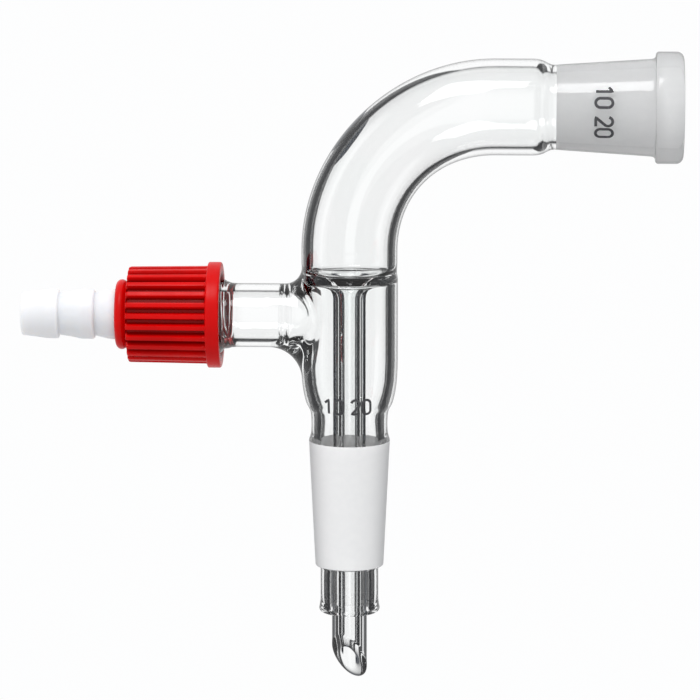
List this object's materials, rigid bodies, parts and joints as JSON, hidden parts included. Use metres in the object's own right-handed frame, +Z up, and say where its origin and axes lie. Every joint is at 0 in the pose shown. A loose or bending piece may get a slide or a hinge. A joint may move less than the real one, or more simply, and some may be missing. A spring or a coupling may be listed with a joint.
{
  "type": "vacuum take-off adapter",
  "caption": "Bent glass take-off adapter with a ground cone and socket, an inner drip tube and a side arm with a screw cap and barbed hose connector for vacuum.",
  "frame": {"origin": "centre of the ground cone's wide end", "axes": "+Z up the ground cone's axis, +X towards the ground socket, side arm towards -X, which makes +Y the back"},
  "size_m": [0.1176, 0.0198, 0.1144],
  "materials": {
    "clear_glass": "clear borosilicate glass, frosted on the two ground joints",
    "red_plastic": "moulded red plastic, satin gloss",
    "white_plastic": "moulded white plastic, slightly translucent",
    "silicone": "soft grey silicone"
  },
  "bodies": {
    "glass": {"glass_body": "clear_glass"},
    "connector": {"hose_connector": "white_plastic", "sealing_ring": "silicone"},
    "cap": {"screw_cap": "red_plastic"}
  },
  "joints": [
    {"name": "connector_slide", "type": "slide", "parent": "glass", "child": "connector", "axis": [-1, 0, 0], "range_m": [0, 0.0125]},
    {"name": "cap_turn", "type": "hinge", "parent": "connector", "child": "cap", "pos_m": [-0.0325, 0, 0.0225], "axis": [-1, 0, 0], "range_deg": [0, 1800]}
  ],
  "couplings": [
    {"joint": "connector_slide", "follows": "cap_turn", "m_per_rad": 0.00039789}
  ]
}
